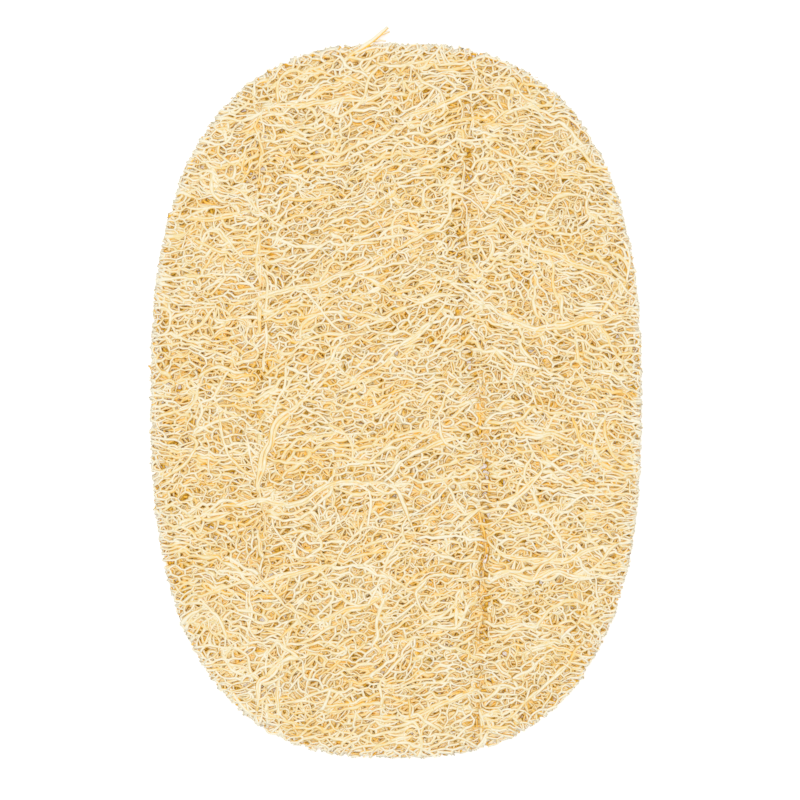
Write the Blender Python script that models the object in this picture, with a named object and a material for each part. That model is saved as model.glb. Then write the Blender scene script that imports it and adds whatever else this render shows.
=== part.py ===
"""Natural loofah sponge: the fibre wall of a loofah gourd, opened, pressed flat and cut to an oval pad.

Metres, +Z up, +Y along the gourd. The pad lies on its inner face, and its outer face is up.
The real net has tens of thousands of hair-fine fibres, grown as one piece. Here its strands are fewer and larger
than life, and they stand out on both faces from a thin, pierced mat of the finest fibres.
"""

import math
import random

import bmesh
import bpy

MM = 0.001

# The oval that the pad is cut to
PAD_WIDTH = 103 * MM
PAD_LENGTH = 150 * MM
OVAL_POWER = 2.6
# The stray fibre at the top reaches past the oval, so the oval's middle lies below the middle of the bounds
OVAL_MIDDLE_Y = -0.9 * MM

# Heights of the mat and of the strands on its two faces
MAT_BOTTOM = 1.0 * MM
MAT_TOP = 3.4 * MM
MAT_INSET = 1.3 * MM
MAT_POINTS = 52
MAT_RAG = 0.5 * MM

# Hoop strands of the outer face, side by side and merging where their waves meet
HOOP_PITCH = 4.1 * MM
HOOP_RADIUS = 1.35 * MM
HOOP_STEP = 7.2 * MM
HOOP_LEAST_STEP = 2 * MM
HOOP_LEAST_POINTS = 4
HOOP_WAVE = 1.25 * MM
HOOP_WAVE_SPREAD = 0.25
HOOP_WAVE_LENGTH = 25 * MM
HOOP_SINK = (0.3 * MM, 0.45 * MM)
HOOP_OFFSET = 0.35 * MM
# Leaning lines would leave two corners of the oval bare, so there are more hoops than its length needs
SPARE_HOOPS = 8

# How far each strand differs from the rest, and how far its ends reach past the oval's cut edge
LENGTH_SPREAD = 0.1
PHASE_SPREAD = 0.5
RADIUS_SPREAD = 0.12
END_REACH = (-0.4 * MM, 0.8 * MM)

# How steeply the hoop strands rise to the right, between which x, and what is added low down at the right
MIDDLE_LEAN = 0.17
MIDDLE_LEAN_X = (-38 * MM, -22 * MM)
RIGHT_LEAN = -0.33
RIGHT_LEAN_X = (12 * MM, 26 * MM)
LOWER_RIGHT_LEAN = 0.22
LOWER_RIGHT_LEAN_Y = (5 * MM, -50 * MM)

# The two creases where the gourd's wall was folded out flat, as x over the pad's length
LEFT_CREASE_X = -29.0 * MM
RIGHT_CREASE_X = 17.0 * MM
CREASE_DIP = 0.42 * MM
CREASE_WIDTH = 3 * MM

# Short slanting strands that tie the hoop strands to each other
LINK_COUNT = 40
LINK_RADIUS = 0.95 * MM
LINK_SLANT = (1.2 * MM, 3.4 * MM)
LINK_SINK = 0.1 * MM
LINK_EDGE = 2 * MM

# Long strands of the inner face, which the pad lies on
LONG_PITCH = 10.5 * MM
LONG_RADIUS = 1.75 * MM
LONG_STEP = 15 * MM
LONG_WAVE = 1.9 * MM
LONG_WAVE_LENGTH = 46 * MM
LONG_OFFSET = 0.6 * MM
LONG_HEIGHT = 1.25 * MM

# Openings right through the mat, in the eyes between two hoop strands
EYE_LEAST_GAP = 4.6 * MM
EYE_SPACING = 12 * MM
EYE_SEARCH_STEP = 1.1 * MM
EYE_MARGIN = 3.0 * MM
EYE_LENGTH = 1.9 * MM
EYE_EDGE = 6 * MM
EYE_SHARE = 0.1
EYE_CORNERS = 6

# Thick strands that show on the outer face: radius, then x, y along the way, in mm from the oval's middle
MAIN_STRANDS = (
    (1.15, (-19.5, 0.1), (-25.4, -5.1), (-27.9, -12.3), (-29.0, -19.6)),
    (0.90, (-38.6, -23.0), (-29.6, -20.7), (-20.0, -22.4), (-14.5, -17.0), (-2.7, -17.5)),
    (1.00, (-22.7, -51.8), (-23.7, -55.5), (-29.0, -58.9), (-29.6, -66.0)),
    (1.00, (-31.3, -39.8), (-22.7, -36.2), (-14.0, -35.0)),
    (0.90, (-18.9, -46.9), (-8.2, -43.4), (0.8, -40.0)),
    (0.95, (-44.0, 53.0), (-39.3, 50.9), (-36.6, 45.0)),
    (0.95, (-27.9, 61.0), (-18.9, 62.3), (-8.2, 62.7), (0.8, 65.8)),
    (0.95, (-31.7, 18.2), (-27.5, 22.6), (-18.9, 23.6), (-9.0, 27.0)),
    (0.90, (-46.5, 38.4), (-38.6, 38.1), (-29.6, 39.6)),
    (0.95, (0.8, 58.5), (10.5, 62.7), (19.5, 65.8)),
    (0.95, (20.6, 38.1), (25.0, 33.7), (35.7, 29.5), (46.0, 25.4)),
    (1.10, (18.5, 19.8), (28.8, 14.8), (38.4, 16.1), (48.1, 17.7)),
    (1.10, (0.8, 21.5), (6.0, 21.2), (13.2, 22.4)),
    (1.10, (19.1, -21.9), (25.0, -20.9), (28.4, -17.5), (31.3, -13.8)),
    (0.95, (19.1, -30.3), (25.0, -33.4), (34.0, -33.8), (46.4, -29.9)),
    (1.10, (19.1, -36.9), (28.8, -36.9), (37.2, -36.2), (42.6, -37.5)),
    (0.95, (0.8, -12.7), (7.4, -8.9), (14.6, -7.5)),
    (0.95, (0.8, -67.3), (10.5, -63.1), (17.6, -60.8)),
)
MAIN_LIFT = 0.95 * MM

# Strands along the creases, and the stray fibre at the top edge
CREASE_STRANDS = (
    (0.95, (-28.6, 66.5), (-28.4, 54.0), (-29.0, 40.0), (-28.2, 27.0), (-27.0, 12.0)),
    (0.80, (16.8, -17.0), (17.6, -30.0), (18.3, -44.0), (18.0, -58.0), (17.2, -66.0)),
)
CREASE_LIFT = 0.3 * MM
STRAY_RADIUS = 0.55 * MM
STRAY_WAY = ((-9.0, 71.5, 4.0), (-5.2, 74.0, 4.3), (-3.0, 76.2, 4.7), (-2.2, 77.8, 5.0))

SEED = 13
WELD = 0.00001 * MM
FOUR_SIDES = 0
END_THINNING = 0.8
TABLE_SIDE = 300 * MM
TABLE_DEPTH = 200 * MM


def smooth_step(low, high, value):
    share = min(1.0, max(0.0, (value - low) / (high - low)))
    return share * share * (3 - 2 * share)


def near_one(rng, spread):
    return rng.uniform(1 - spread, 1 + spread)


def half_width(y, grow=0.0):
    """The oval's half width at y, measured from its middle, for an oval that is larger by grow all round."""
    share = abs(y) / (PAD_LENGTH / 2 + grow)
    if share >= 1:
        return 0.0
    return (PAD_WIDTH / 2 + grow) * (1 - share**OVAL_POWER) ** (1 / OVAL_POWER)


def half_length(x, grow=0.0):
    """The oval's half length at x, measured from its middle."""
    share = abs(x) / (PAD_WIDTH / 2 + grow)
    if share >= 1:
        return 0.0
    return (PAD_LENGTH / 2 + grow) * (1 - share**OVAL_POWER) ** (1 / OVAL_POWER)


def lean(x, y):
    """How steeply the hoop strands rise to the right: up across the middle, down then up at the right."""
    middle = MIDDLE_LEAN * smooth_step(*MIDDLE_LEAN_X, x)
    right = RIGHT_LEAN + LOWER_RIGHT_LEAN * smooth_step(*LOWER_RIGHT_LEAN_Y, y)
    return middle + right * smooth_step(*RIGHT_LEAN_X, x)


def crease_dip(x):
    """How far the strands sink where they cross a crease."""
    offsets = ((x - crease) / CREASE_WIDTH for crease in (LEFT_CREASE_X, RIGHT_CREASE_X))
    return CREASE_DIP * sum(math.exp(-(offset**2)) for offset in offsets)


def clear_scene():
    for obj in list(bpy.data.objects):
        bpy.data.objects.remove(obj)


def new_collection(name):
    collection = bpy.data.collections.new(name)
    bpy.context.scene.collection.children.link(collection)
    return collection


def loofah_material():
    material = bpy.data.materials.new("dry_loofah_fibre")
    material.use_nodes = True
    shader = material.node_tree.nodes["Principled BSDF"]
    shader.inputs["Base Color"].default_value = (0.86, 0.70, 0.42, 1)
    shader.inputs["Roughness"].default_value = 0.7
    shader.inputs["Metallic"].default_value = 0.0
    return material


def solid_of_curve(curve_object, collection):
    """The curve's evaluated shape as a closed mesh object in the collection. The curve is removed."""
    bpy.context.view_layer.update()
    graph = bpy.context.evaluated_depsgraph_get()
    mesh = bpy.data.meshes.new_from_object(curve_object.evaluated_get(graph))
    shape = bmesh.new()
    shape.from_mesh(mesh)
    bmesh.ops.remove_doubles(shape, verts=shape.verts, dist=WELD)
    bmesh.ops.recalc_face_normals(shape, faces=shape.faces)
    shape.to_mesh(mesh)
    shape.free()
    solid = bpy.data.objects.new(curve_object.name, mesh)
    solid.matrix_world = curve_object.matrix_world
    collection.objects.link(solid)
    bpy.data.objects.remove(curve_object)
    return solid


def strand(name, points, radius, collection):
    """One strand: a four-sided tube through the points, one edge up, a little thinner at both ends."""
    curve = bpy.data.curves.new(name, "CURVE")
    curve.dimensions = "3D"
    curve.twist_mode = "Z_UP"
    curve.bevel_depth = radius
    curve.bevel_resolution = FOUR_SIDES
    curve.use_fill_caps = True
    spline = curve.splines.new("POLY")
    spline.points.add(len(points) - 1)
    for index, (place, point) in enumerate(zip(spline.points, points)):
        place.co = (*point, 1)
        at_end = index in (0, len(points) - 1)
        place.radius = END_THINNING if at_end else 1.0
    curve_object = bpy.data.objects.new(name, curve)
    collection.objects.link(curve_object)
    return solid_of_curve(curve_object, collection)


def hoop_lines(rng):
    """For each hoop strand, its points (x, y) from left to right, past the oval on both sides."""
    lines = []
    count = int(PAD_LENGTH / HOOP_PITCH) + SPARE_HOOPS
    reach = PAD_WIDTH / 2 + HOOP_STEP
    steps = round(2 * reach / HOOP_STEP)
    step = 2 * reach / steps
    for number in range(count):
        y = (number - (count - 1) / 2) * HOOP_PITCH + rng.uniform(-HOOP_OFFSET, HOOP_OFFSET)
        size = HOOP_WAVE * near_one(rng, HOOP_WAVE_SPREAD) * (1 if number % 2 else -1)
        length = HOOP_WAVE_LENGTH * near_one(rng, LENGTH_SPREAD)
        phase = rng.uniform(-PHASE_SPREAD, PHASE_SPREAD)
        line = []
        for index in range(steps + 1):
            x = -reach + index * step
            line.append((x, y + size * math.sin(2 * math.pi * x / length + phase)))
            y += lean(x, y) * step
        lines.append(line)
    return lines


def inside(x, y, grow):
    return abs(x) <= half_width(y, grow)


def clipped(line, grow_start, grow_end):
    """The longest stretch of the line inside the oval, its ends brought to the cut edge."""
    runs, run = [], []
    for index, (x, y) in enumerate(line):
        if inside(x, y, 0):
            run.append(index)
        elif run:
            runs.append(run)
            run = []
    if run:
        runs.append(run)
    if not runs:
        return []
    run = max(runs, key=len)
    points = [line[i] for i in run]
    if run[0] > 0:
        points.insert(0, cut_point(line[run[0]], line[run[0] - 1], grow_start))
    if run[-1] < len(line) - 1:
        points.append(cut_point(line[run[-1]], line[run[-1] + 1], grow_end))
    return points


def cut_point(kept, lost, grow):
    """Where the line from a kept point to one outside crosses the oval grown by grow."""
    low, high = 0.0, 1.0
    for _ in range(20):
        share = (low + high) / 2
        x = kept[0] + (lost[0] - kept[0]) * share
        y = kept[1] + (lost[1] - kept[1]) * share
        if inside(x, y, grow):
            low = share
        else:
            high = share
    return (kept[0] + (lost[0] - kept[0]) * low, kept[1] + (lost[1] - kept[1]) * low)


def without_crowding(points, least):
    """The points with any that lie closer than least to the one before left out, but both ends kept."""
    kept = [points[0]]
    for point in points[1:-1]:
        if math.dist(point, kept[-1]) > least and math.dist(point, points[-1]) > least:
            kept.append(point)
    kept.append(points[-1])
    return kept


def add_hoop_strands(lines, rng, collection):
    for number, line in enumerate(lines):
        points = clipped(line, rng.uniform(*END_REACH), rng.uniform(*END_REACH))
        if len(points) < HOOP_LEAST_POINTS:
            continue
        points = without_crowding(points, HOOP_LEAST_STEP)
        height = MAT_TOP - rng.uniform(*HOOP_SINK)
        way = [(x, y + OVAL_MIDDLE_Y, height - crease_dip(x)) for x, y in points]
        strand(f"hoop_{number:02d}", way, HOOP_RADIUS * near_one(rng, RADIUS_SPREAD), collection)


def long_lines(rng):
    """For each long strand of the inner face, its points (x, y) from edge to edge."""
    lines = []
    count = int(PAD_WIDTH / LONG_PITCH)
    for number in range(count):
        base = (number - (count - 1) / 2) * LONG_PITCH + rng.uniform(-LONG_OFFSET, LONG_OFFSET)
        size = LONG_WAVE if number % 2 else -LONG_WAVE
        phase = rng.uniform(-PHASE_SPREAD, PHASE_SPREAD)
        reach = half_length(base, rng.uniform(*END_REACH))
        steps = round(2 * reach / LONG_STEP)
        line = []
        for index in range(steps + 1):
            y = -reach + 2 * reach * index / steps
            wave = size * math.sin(2 * math.pi * y / LONG_WAVE_LENGTH + phase)
            line.append((base + wave * math.sin(math.pi * index / steps) ** 0.5, y))
        lines.append(line)
    return lines


def add_long_strands(lines, rng, collection):
    for number, line in enumerate(lines):
        way = [(x, y + OVAL_MIDDLE_Y, LONG_HEIGHT) for x, y in line]
        strand(f"long_{number:02d}", way, LONG_RADIUS * near_one(rng, RADIUS_SPREAD), collection)


def add_link_strands(hoops, rng, collection):
    """Short slanting strands that tie a hoop strand to the next but one, on alternate slants."""
    number = 0
    while number < LINK_COUNT:
        first = rng.randrange(len(hoops) - 2)
        x = rng.uniform(-PAD_WIDTH / 2, PAD_WIDTH / 2)
        slant = rng.uniform(*LINK_SLANT) * (1 if number % 2 else -1)
        way = []
        for step in range(3):
            along = x + slant * (step - 1)
            height = MAT_TOP - LINK_SINK - crease_dip(along)
            way.append((along, at(hoops[first + step], along) + OVAL_MIDDLE_Y, height))
        if all(inside(px, py - OVAL_MIDDLE_Y, -LINK_EDGE) for px, py, _ in way):
            strand(f"link_{number:02d}", way, LINK_RADIUS * near_one(rng, RADIUS_SPREAD), collection)
            number += 1


def add_routed_strands(name, routes, lift, collection):
    for number, (radius, *way) in enumerate(routes):
        height = MAT_TOP + lift
        points = [(x * MM, y * MM + OVAL_MIDDLE_Y, height - crease_dip(x * MM) / 2) for x, y in way]
        strand(f"{name}_{number:02d}", points, radius * MM, collection)


def add_stray_fibre(collection):
    points = [(x * MM, y * MM + OVAL_MIDDLE_Y, z * MM) for x, y, z in STRAY_WAY]
    strand("stray_fibre", points, STRAY_RADIUS, collection)


def at(line, value, given=0):
    """The line's other coordinate where the given one (0 for x, 1 for y) has this value."""
    for near, far in zip(line, line[1:]):
        if near[given] <= value <= far[given]:
            share = (value - near[given]) / (far[given] - near[given])
            return near[1 - given] + (far[1 - given] - near[1 - given]) * share
    return line[-1][1 - given]


def eyes(hoops, longs, rng):
    """Middles and half sizes of the openings: where two hoop strands lie furthest apart, clear of a long strand."""
    found = []
    for low_line, high_line in zip(hoops, hoops[1:]):
        x = -PAD_WIDTH / 2 + rng.uniform(0, EYE_SPACING)
        while x < PAD_WIDTH / 2:
            low, high = at(low_line, x), at(high_line, x)
            middle, gap = (low + high) / 2, high - low
            share = 1.0 if x < LEFT_CREASE_X else EYE_SHARE
            from_long = min(abs(at(line, middle, 1) - x) for line in longs)
            clear = inside(x, middle, -EYE_EDGE) and from_long > LONG_RADIUS + EYE_LENGTH
            if gap > EYE_LEAST_GAP and clear and rng.random() < share:
                found.append((x, middle, EYE_LENGTH, (gap - EYE_MARGIN) / 2))
                x += EYE_SPACING
            x += EYE_SEARCH_STEP
    return found


def add_loop(curve, points):
    spline = curve.splines.new("POLY")
    spline.points.add(len(points) - 1)
    for place, (x, y) in zip(spline.points, points):
        place.co = (x, y + OVAL_MIDDLE_Y, 0, 1)
    spline.use_cyclic_u = True


def pierced_mat(hoops, longs, rng, collection):
    """The mat of the finest fibres: a thin oval sheet with a ragged edge and an opening in each eye."""
    curve = bpy.data.curves.new("mat", "CURVE")
    curve.dimensions = "2D"
    curve.fill_mode = "BOTH"
    curve.extrude = (MAT_TOP - MAT_BOTTOM) / 2
    outline = []
    for index in range(MAT_POINTS):
        angle = 2 * math.pi * index / MAT_POINTS
        power = 2 / OVAL_POWER
        across = math.copysign(abs(math.cos(angle)) ** power, math.cos(angle))
        along = math.copysign(abs(math.sin(angle)) ** power, math.sin(angle))
        inset = MAT_INSET + rng.uniform(-MAT_RAG, MAT_RAG)
        outline.append((across * (PAD_WIDTH / 2 - inset), along * (PAD_LENGTH / 2 - inset)))
    add_loop(curve, outline)
    for x, y, half_x, half_y in eyes(hoops, longs, rng):
        slope = lean(x, y)
        corners = []
        for corner in range(EYE_CORNERS):
            angle = 2 * math.pi * corner / EYE_CORNERS
            across = half_x * math.cos(angle)
            along = half_y * math.sin(angle)
            corners.append((x + across, y + along + slope * across))
        add_loop(curve, corners)
    mat = bpy.data.objects.new("mat", curve)
    mat.location.z = (MAT_TOP + MAT_BOTTOM) / 2
    collection.objects.link(mat)
    return solid_of_curve(mat, collection)


def table_block(collection):
    """Everything below the surface that the pad lies on, to cut flat feet on the long strands."""
    bpy.ops.mesh.primitive_cube_add(size=1, location=(0, 0, -TABLE_DEPTH / 2))
    block = bpy.context.object
    block.name = "table_block"
    block.scale = (TABLE_SIDE, TABLE_SIDE, TABLE_DEPTH)
    for owner in list(block.users_collection):
        owner.objects.unlink(block)
    collection.objects.link(block)
    block.hide_render = True
    block.display_type = "WIRE"
    return block


def fill_sealed_hollows(mesh):
    """Keep the largest skin only: a smaller one is a hollow that the strands seal, or a loose scrap."""
    shape = bmesh.new()
    shape.from_mesh(mesh)
    skins, seen = [], set()
    for start in shape.verts:
        if start in seen:
            continue
        skin, front = [], [start]
        seen.add(start)
        while front:
            vertex = front.pop()
            skin.append(vertex)
            for edge in vertex.link_edges:
                other = edge.other_vert(vertex)
                if other not in seen:
                    seen.add(other)
                    front.append(other)
        skins.append(skin)
    skins.sort(key=len)
    for skin in skins[:-1]:
        bmesh.ops.delete(shape, geom=skin, context="VERTS")
    shape.to_mesh(mesh)
    shape.free()


def fuse(mat, strands, pad_collection):
    """One closed body from the mat and all strands, by one Boolean union, applied."""
    union = mat.modifiers.new("join_strands", "BOOLEAN")
    union.operation = "UNION"
    union.solver = "MANIFOLD"
    union.operand_type = "COLLECTION"
    union.collection = strands
    bpy.context.view_layer.update()
    graph = bpy.context.evaluated_depsgraph_get()
    mesh = bpy.data.meshes.new_from_object(mat.evaluated_get(graph))
    mesh.transform(mat.matrix_world)
    fill_sealed_hollows(mesh)
    pad = bpy.data.objects.new("loofah_pad", mesh)
    pad_collection.objects.link(pad)
    for obj in list(strands.objects):
        bpy.data.objects.remove(obj)
    bpy.data.collections.remove(strands)
    bpy.data.objects.remove(mat)
    return pad


def cut_flat_feet(pad, block):
    cut = pad.modifiers.new("flat_feet", "BOOLEAN")
    cut.operation = "DIFFERENCE"
    cut.solver = "MANIFOLD"
    cut.object = block


def main():
    rng = random.Random(SEED)
    clear_scene()
    pad_collection = new_collection("natural_loofah_sponge")
    cutters = new_collection("cutters")
    strands = new_collection("strands")
    hoops = hoop_lines(rng)
    longs = long_lines(rng)
    mat = pierced_mat(hoops, longs, rng, pad_collection)
    add_hoop_strands(hoops, rng, strands)
    add_long_strands(longs, rng, strands)
    add_link_strands(hoops, rng, strands)
    add_routed_strands("main", MAIN_STRANDS, MAIN_LIFT, strands)
    add_routed_strands("crease", CREASE_STRANDS, CREASE_LIFT, strands)
    add_stray_fibre(strands)
    pad = fuse(mat, strands, pad_collection)
    cut_flat_feet(pad, table_block(cutters))
    pad.data.materials.clear()
    pad.data.materials.append(loofah_material())


main()
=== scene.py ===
"""Natural loofah sponge: the dry fibre net of a gourd's wall, pressed flat and cut to an oval pad.

Fibres are grown over the pad from one seed, in millimetres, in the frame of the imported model: x across the
pad, y along the gourd, z up out of the outer face. Hoop fibres run across the outer face, long fibres run
along the inner face, and finer ones tie them to each other.
"""

import itertools
import math

import bpy
import numpy as np
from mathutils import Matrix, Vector, geometry, kdtree


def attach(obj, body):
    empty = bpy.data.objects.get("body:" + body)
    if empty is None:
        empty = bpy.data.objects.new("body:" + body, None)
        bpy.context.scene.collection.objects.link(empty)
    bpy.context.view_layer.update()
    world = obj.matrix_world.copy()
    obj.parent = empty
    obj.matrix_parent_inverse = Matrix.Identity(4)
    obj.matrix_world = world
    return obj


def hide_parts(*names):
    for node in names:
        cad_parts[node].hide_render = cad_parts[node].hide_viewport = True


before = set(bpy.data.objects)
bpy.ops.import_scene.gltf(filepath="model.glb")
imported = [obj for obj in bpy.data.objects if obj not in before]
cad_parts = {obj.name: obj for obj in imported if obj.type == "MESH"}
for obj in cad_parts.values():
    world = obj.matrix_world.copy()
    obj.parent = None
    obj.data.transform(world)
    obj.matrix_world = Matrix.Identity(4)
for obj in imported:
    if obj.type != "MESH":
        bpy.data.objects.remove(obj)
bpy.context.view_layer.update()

MM = 0.001
SEED = 26
NODE = "loofah_pad"

# The oval that the pad is cut to, in mm
OVAL_HALF_WIDTH = 51.5
OVAL_HALF_LENGTH = 75.0
OVAL_POWER = 2.6
OVAL_MIDDLE_Y = -0.9
OVAL_MEAN_RADIUS = 60.0

# How far outside the oval a fibre is cut, in mm, and the band of upright rim fibres, as shares of the oval
CUT_RAG = (-0.45, 0.2)
RIM_BAND = (0.965, 0.995)

# Heights in the pad, in mm: the lowest that a strand's middle lies, and the net's middle and two faces
PAD_FLOOR = 0.25
INNER_FACE = 0.6
MIDDLE_HEIGHT = 2.3
OUTER_FACE = 4.7

# The share by which the pad is thinner at its cut edge, and how far in from the edge that reaches, in mm
EDGE_PINCH = 0.15
EDGE_PINCH_WIDTH = 3.5

# The creases where the wall was folded out flat, as points y, x along each, in mm from the oval's middle
LEFT_CREASE = ((-75, -28.0), (-40, -28.5), (10, -28.0), (40, -28.9), (75, -28.6))
RIGHT_CREASE = (
    (-75, 17.0), (-45, 18.0), (-22, 19.1), (0, 18.0),
    (12, 14.5), (24, 12.8), (40, 14.5), (75, 16.5),
)

# How wide and deep the creases are, and between which heights in the pad they set in, all in mm
CREASE_WIDTH = 1.9
LEFT_DIP = 0.5
LEFT_DIP_SHIFT = 1.5
RIGHT_DIP = 0.9
DIP_HEIGHTS = (1.5, 4.0)

# The share by which the right crease is less deep in its upper part, and where that sets in, in mm
UPPER_RIGHT_FILL = 0.3
UPPER_RIGHT = (0, 30)

# The share by which the pad is thinner left of the left crease, and the share of its bed strands left there
LEFT_STRIP_THIN = 0.16
LEFT_BED_SHARE = 0.5

# How steeply the hoop fibres rise to the right in each strip, and where the right strip's lean changes, in mm
MIDDLE_LEAN = 0.19
RIGHT_LEAN = -0.36
LOWER_RIGHT_LEAN = 0.26
LOWER_RIGHT = (5, -50)
LEAN_SWAY = 0.2

# Where the hoop lines bend, across the pad, and how softly, in mm
LEFT_BEND = -28.5
RIGHT_BEND = 17.0
BEND_SOFTNESS = 3.0

# The share of the cells of a web that have grown into their neighbours
MISSING_CELLS = 0.12

# A thick strand is a bundle: how far its strands stand out and how thick they are, as shares of its radius
BUNDLE_SPREAD = 0.62
BUNDLE_STRAND = 0.62

# The length in mm over which the strands of a bundle go once round each other
CROSSOVER = 34.0

# How much a fibre's thickness swings along its way, and the scale of its grain along it for that across it
KNOT_SHARE = 0.13
GRAIN_SHARE = 0.15

# How near the right crease the webs are torn, in mm, and the share of fibres gone there, below and above
TORN_WIDTH = 0.8
TORN_SHARES = (0.75, 0.45)

# Thick strands of the outer face: radius, then x, y along the way, in mm from the oval's middle
MAIN_ROUTES = (
    (0.82, (-19.5, 0.1), (-25.4, -5.1), (-27.9, -12.3), (-29.0, -19.6)),
    (0.55, (-38.6, -23.0), (-29.6, -20.7), (-20.0, -22.4), (-14.5, -17.0), (-2.7, -17.5)),
    (0.62, (-22.7, -51.8), (-23.7, -55.5), (-29.0, -58.9), (-29.6, -66.0)),
    (0.62, (-31.3, -39.8), (-22.7, -36.2), (-14.0, -35.0)),
    (0.55, (-18.9, -46.9), (-8.2, -43.4), (0.8, -40.0)),
    (0.58, (-41.8, 51.6), (-39.3, 50.0), (-36.6, 45.0)),
    (0.58, (-27.9, 61.0), (-18.9, 62.3), (-8.2, 62.7), (0.8, 65.8)),
    (0.58, (-31.7, 18.2), (-27.5, 22.6), (-18.9, 23.6), (-9.0, 27.0)),
    (0.55, (-46.5, 38.4), (-38.6, 38.1), (-29.6, 39.6)),
    (0.58, (0.8, 58.5), (10.5, 62.7), (19.5, 65.8)),
    (0.58, (20.6, 38.1), (25.0, 33.7), (35.7, 29.5), (46.0, 25.4)),
    (0.68, (18.5, 19.8), (28.8, 14.8), (38.4, 16.1), (48.1, 17.7)),
    (0.68, (0.8, 21.5), (6.0, 21.2), (13.2, 22.4)),
    (0.68, (19.1, -21.9), (25.0, -20.9), (28.4, -17.5), (31.3, -13.8)),
    (0.58, (19.1, -30.3), (25.0, -33.4), (34.0, -33.8), (46.4, -29.9)),
    (0.66, (19.1, -36.9), (28.8, -36.9), (37.2, -36.2), (42.6, -37.5)),
    (0.58, (0.8, -12.7), (7.4, -8.9), (14.6, -7.5)),
    (0.58, (0.8, -67.3), (10.5, -63.1), (17.6, -60.8)),
    (0.50, (-24.4, -57.5), (-24.9, -63.2), (-24.6, -68.4)),
    (0.42, (-27.4, -60.3), (-26.6, -64.8), (-27.2, -69.0)),
    (0.42, (18.0, -63.5), (19.2, -67.2), (19.0, -70.6)),
)

# A torn strand that stands out past the top edge, with two short splinters
STRAY_ROUTES = (
    (0.62, (-10.4, 71.8), (-6.2, 74.6), (-4.2, 76.1), (-1.7, 78.4)),
    (0.36, (-5.4, 75.0), (-3.4, 75.9), (-2.1, 75.4)),
    (0.34, (-3.6, 76.5), (-2.5, 77.4), (-1.3, 77.4)),
)

# The fibre's colours, from what lies deep in the net to what faces the air: straw and cream are its own,
# the golden end is partly its own colour and partly painted shade of the net's depth
SHADED_GOLD = (0.97, 0.46, 0.015, 1)
STRAW = (0.81, 0.62, 0.24, 1)
CREAM = (0.87, 0.79, 0.555, 1)

# How much painted light the cut rim gets, as if lit from the side, and between which distances from the edge
# it sets in, in mm
RIM_PAINTED_LIGHT = 1.1
RIM_LIGHT_BAND = (2.5, 0.3)

# The floor: its height in mm, just clear of the pad, and the warm light that it gives back through the gaps
FLOOR_Z = -0.02
WARM_GLOW = (1.0, 0.9, 0.72, 1)

# The picture's width and the oval's middle in it, in pixels, and a pixel's size in mm at the height given
PICTURE = 800
OVAL_PIXEL = (396.0, 400.5)
PIXEL = 0.2098
PIXEL_HEIGHT = 4.0

# The camera's focal length and the width of its sensor, in mm
LENS = 120.0
SENSOR = 36.0

rng = np.random.default_rng(SEED)


def smooth_step(low, high, value):
    share = np.clip((value - low) / (high - low), 0, 1)
    return share * share * (3 - 2 * share)


def crease_x(crease, y):
    ys, xs = zip(*crease)
    return np.interp(y, ys, xs)


def oval_share(x, y):
    """0 at the oval's middle, 1 on its edge and more outside, for x, y from its middle."""
    across = np.abs(x / OVAL_HALF_WIDTH) ** OVAL_POWER
    along = np.abs(y / OVAL_HALF_LENGTH) ** OVAL_POWER
    return (across + along) ** (1 / OVAL_POWER)


def edge_distance(x, y):
    """About how far inside the cut edge a point lies, in mm."""
    share = oval_share(x, y)
    return (1 - share) * np.hypot(x, y) / np.maximum(share, 0.05)


def sway(x, y):
    """A slow, smooth swing of the fibres' direction over the pad, from -1 to 1."""
    first = np.sin(x / 9.1 + 1.7 * np.sin(y / 13.7) + 0.6)
    second = np.sin(y / 7.3 + 1.3 * np.sin(x / 11.9 + 2.1))
    third = np.sin((x + y) / 5.7 + 4.0) * np.sin((x - 1.4 * y) / 8.3)
    return (first + second + third) / 3


def right_lean(y):
    """How steeply the hoop fibres rise in the right strip."""
    return RIGHT_LEAN + LOWER_RIGHT_LEAN * smooth_step(*LOWER_RIGHT, y)


def hoop_direction(x, y):
    """The way that hoop fibres run at a place, as an angle from x."""
    left = crease_x(LEFT_CREASE, y)
    right = crease_x(RIGHT_CREASE, y)
    slope = MIDDLE_LEAN * smooth_step(left - 3, left + 3, x)
    slope = slope + right_lean(y) * smooth_step(right - 3, right + 4, x)
    return np.arctan(slope + LEAN_SWAY * sway(x, y))


def ramp(value):
    """Flat at 0 below 0 and rising with the value above it, with a soft turn."""
    return (value + np.sqrt(value * value + BEND_SOFTNESS**2)) / 2


def lifted(x, v):
    """The y at x of the hoop line whose height at the left is v: hoop lines bend at the creases."""
    return v + MIDDLE_LEAN * (ramp(x - LEFT_BEND) + LEFT_BEND) + right_lean(v) * ramp(x - RIGHT_BEND)


def strip_of(x, y):
    """0 left of the left crease, 1 between the creases, 2 right of the right crease."""
    return (x > crease_x(LEFT_CREASE, y)).astype(int) + (x > crease_x(RIGHT_CREASE, y)).astype(int)


def thinness(x, y):
    """The share of its full thickness that the pad has here: less in the left strip and along the edge."""
    left = crease_x(LEFT_CREASE, y)
    thin = 1 - LEFT_STRIP_THIN * smooth_step(left - 1, left - 5, x)
    return thin * (1 - EDGE_PINCH * smooth_step(EDGE_PINCH_WIDTH, 0, edge_distance(x, y)))


def settled(x, y, z):
    """The height of a point in the pressed pad, from its height in an even one."""
    from_left = (x - crease_x(LEFT_CREASE, y) + LEFT_DIP_SHIFT) / CREASE_WIDTH
    from_right = (x - crease_x(RIGHT_CREASE, y)) / CREASE_WIDTH
    right_dip = RIGHT_DIP * (1 - UPPER_RIGHT_FILL * smooth_step(*UPPER_RIGHT, y))
    dip = LEFT_DIP * np.exp(-(from_left**2)) + right_dip * np.exp(-(from_right**2))
    return np.clip((z - dip * smooth_step(*DIP_HEIGHTS, z)) * thinness(x, y), PAD_FLOOR, None)


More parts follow.
